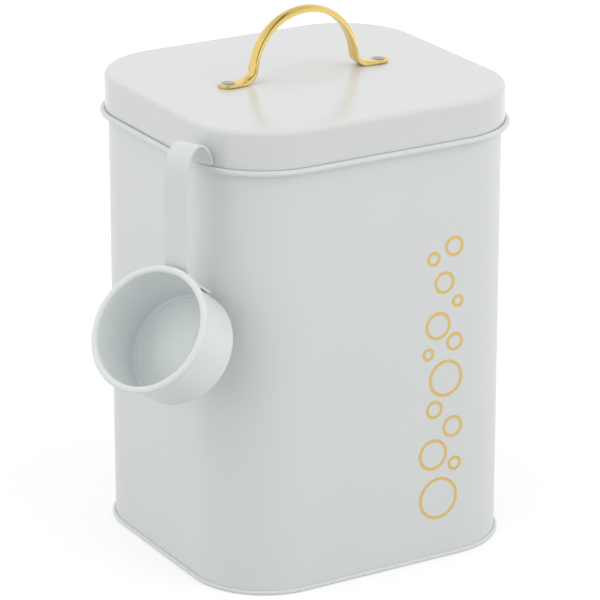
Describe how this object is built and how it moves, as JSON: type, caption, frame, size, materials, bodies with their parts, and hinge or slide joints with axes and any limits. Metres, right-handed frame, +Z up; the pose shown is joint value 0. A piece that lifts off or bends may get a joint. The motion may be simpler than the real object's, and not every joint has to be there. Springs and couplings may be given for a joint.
{
  "type": "laundry powder tin",
  "caption": "Sheet-steel laundry powder canister with rounded corners, a lift-off lid with a bow handle, and a scoop that hangs from the rim by its hooked strap.",
  "frame": {"origin": "centre of the base, on the plane that the tin stands on", "axes": "+Z up, +X to the right of the printed face, which looks along -Y"},
  "size_m": [0.239, 0.1827, 0.2791],
  "materials": {
    "tin": "satin powder coat",
    "lid": "satin powder coat",
    "handle": "polished",
    "rivets": "bright",
    "scoop": "satin powder coat"
  },
  "bodies": {
    "tin": {"body_wall": "tin", "base_panel": "tin", "neck_collar": "tin"},
    "lid": {"lid_shell": "lid", "lid_handle": "handle", "handle_rivets": "rivets"},
    "scoop": {"scoop_strap": "scoop", "scoop_cup": "scoop"}
  },
  "joints": [
    {"name": "lid_lift", "type": "slide", "parent": "tin", "child": "lid", "axis": [0, 0, 1], "range_m": [0, 0.1]},
    {"name": "scoop_lift", "type": "slide", "parent": "tin", "child": "scoop", "axis": [0, 0, 1], "range_m": [0, 0.05]}
  ]
}
